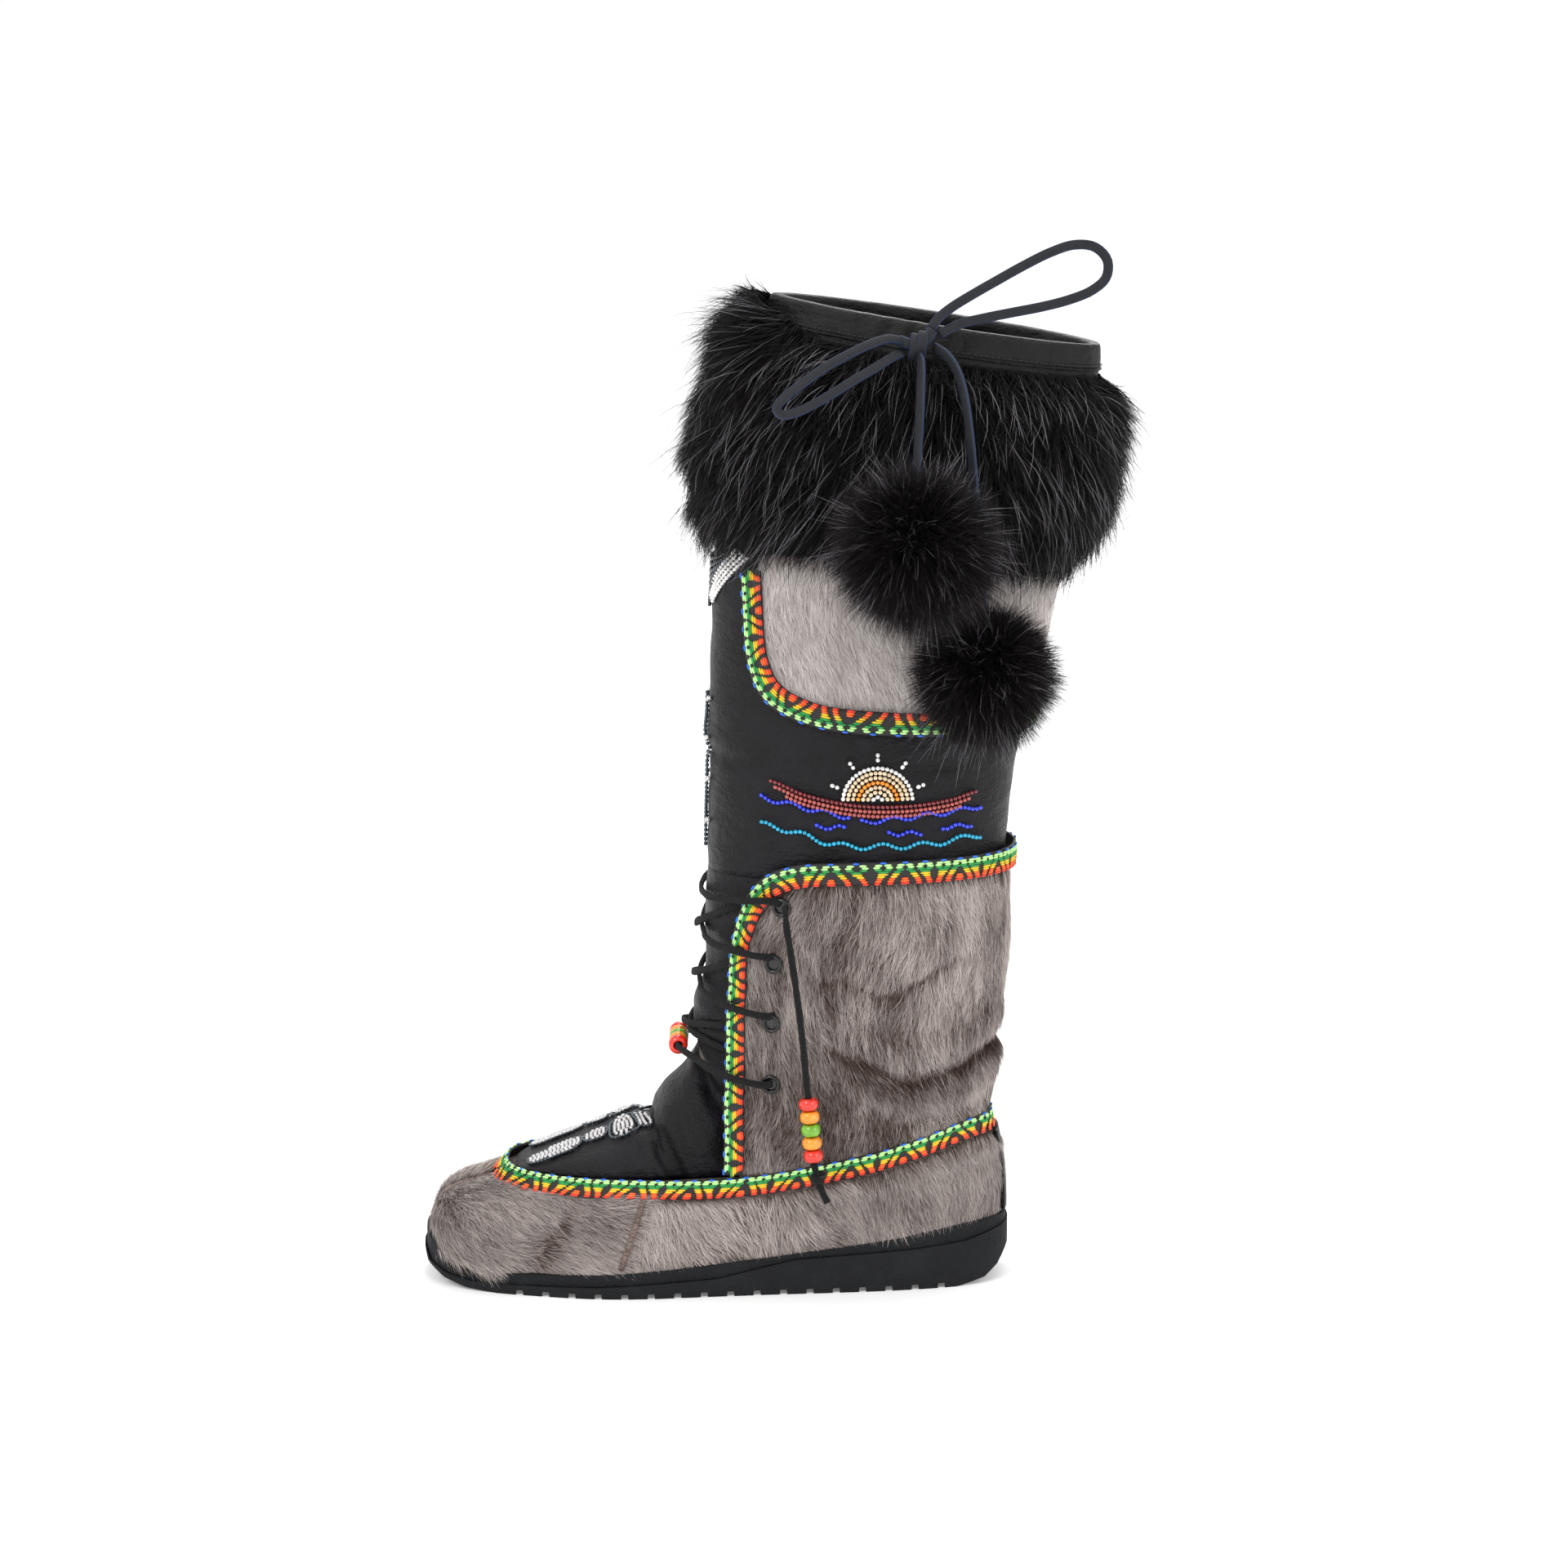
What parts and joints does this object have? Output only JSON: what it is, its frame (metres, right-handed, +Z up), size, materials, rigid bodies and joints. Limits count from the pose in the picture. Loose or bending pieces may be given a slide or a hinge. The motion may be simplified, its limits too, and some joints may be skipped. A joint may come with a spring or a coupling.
{
  "type": "fur-trimmed winter boot",
  "caption": "Tall soft winter boot with a rubber sole, seal-fur foot and quarters, laced front, fur cuff and a drawstring bow with fur pompoms.",
  "frame": {"origin": "on the ground, on the sole's flat tread face, at the middle of the sole's length and on the line from the toe tip to the heel", "axes": "+Z up; -X towards the toe, +X towards the heel; -Y towards the outer side of this left boot, +Y towards the inner side"},
  "size_m": [0.3231, 0.1747, 0.4792],
  "materials": {
    "rubber": "matt, finely pebbled",
    "leather": "semi-gloss, soft grain with creases",
    "suede_lace": "matt suede",
    "leather_thong": "smooth face, blue-dyed cut edges",
    "pile_lining": "short dense pile",
    "insole_felt": "pressed felt",
    "seal_fur": "short flat-lying glossy hair",
    "pale_seal_fur": "short flat-lying glossy hair",
    "black_fur": "long silky hair",
    "woven_braid": "jacquard weave",
    "eyelet_metal": "black enamel",
    "bead_red": "gloss",
    "bead_orange": "gloss",
    "bead_green": "gloss"
  },
  "bodies": {
    "foot": {"outsole": "rubber", "midsole": "rubber", "insole": "insole_felt", "toe_foxing": "seal_fur", "heel_foxing": "seal_fur", "foot_braid": "woven_braid", "counter": "leather", "foot_lining": "pile_lining", "vamp": "leather"},
    "leg": {"leg_leather": "leather", "leg_lining": "pile_lining", "quarter_fur_outer": "seal_fur", "leg_patch_outer": "pale_seal_fur", "quarter_braid_outer": "woven_braid", "patch_braid_outer": "woven_braid", "quarter_fur_inner": "seal_fur", "leg_patch_inner": "pale_seal_fur", "quarter_braid_inner": "woven_braid", "patch_braid_inner": "woven_braid", "fur_cuff": "black_fur", "collar_casing": "leather", "drawstring": "leather_thong", "eyelet_outer_1": "eyelet_metal", "eyelet_outer_2": "eyelet_metal", "eyelet_outer_3": "eyelet_metal", "eyelet_outer_4": "eyelet_metal", "eyelet_inner_1": "eyelet_metal", "eyelet_inner_2": "eyelet_metal", "eyelet_inner_3": "eyelet_metal", "eyelet_inner_4": "eyelet_metal", "lace_crossing_1": "suede_lace", "lace_crossing_2": "suede_lace", "lace_crossing_3": "suede_lace", "lace_bar_bottom": "suede_lace", "lace_bar_top": "suede_lace", "bar_bead_1": "bead_red", "bar_bead_2": "bead_orange", "bar_bead_3": "bead_green", "bar_bead_4": "bead_orange", "bar_bead_5": "bead_red", "bow_knot": "leather_thong", "bow_loop_front": "leather_thong", "bow_loop_rear": "leather_thong"},
    "lace_tail_outer": {"lace_tail_outer": "suede_lace", "tail_bead_outer_1": "bead_red", "tail_bead_outer_2": "bead_orange", "tail_bead_outer_3": "bead_green", "tail_bead_outer_4": "bead_orange", "tail_bead_outer_5": "bead_red"},
    "lace_tail_inner": {"lace_tail_inner": "suede_lace", "tail_bead_inner_1": "bead_red", "tail_bead_inner_2": "bead_orange", "tail_bead_inner_3": "bead_green", "tail_bead_inner_4": "bead_orange", "tail_bead_inner_5": "bead_red"},
    "pompom_front": {"thong_tail_front": "leather_thong", "pompom_front": "black_fur"},
    "pompom_rear": {"thong_tail_rear": "leather_thong", "pompom_rear": "black_fur"}
  },
  "joints": [
    {"name": "ankle_flex", "type": "hinge", "parent": "foot", "child": "leg", "pos_m": [0.05, 0, 0.084], "axis": [0, -1, 0], "range_deg": [-10, 12], "stiffness_Nm_per_rad": 12},
    {"name": "outer_lace_tail_swing", "type": "hinge", "parent": "leg", "child": "lace_tail_outer", "pos_m": [0.031, -0.05, 0.176], "axis": [-1, 0, 0], "range_deg": [0, 70]},
    {"name": "inner_lace_tail_swing", "type": "hinge", "parent": "leg", "child": "lace_tail_inner", "pos_m": [0.031, 0.05, 0.176], "axis": [1, 0, 0], "range_deg": [0, 70]},
    {"name": "front_pompom_swing", "type": "hinge", "parent": "leg", "child": "pompom_front", "pos_m": [0.0895, -0.0456, 0.43], "axis": [-1, 0, 0], "range_deg": [0, 60]},
    {"name": "rear_pompom_swing", "type": "hinge", "parent": "leg", "child": "pompom_rear", "pos_m": [0.0963, -0.04, 0.4334], "axis": [-1, 0, 0], "range_deg": [0, 60]}
  ]
}
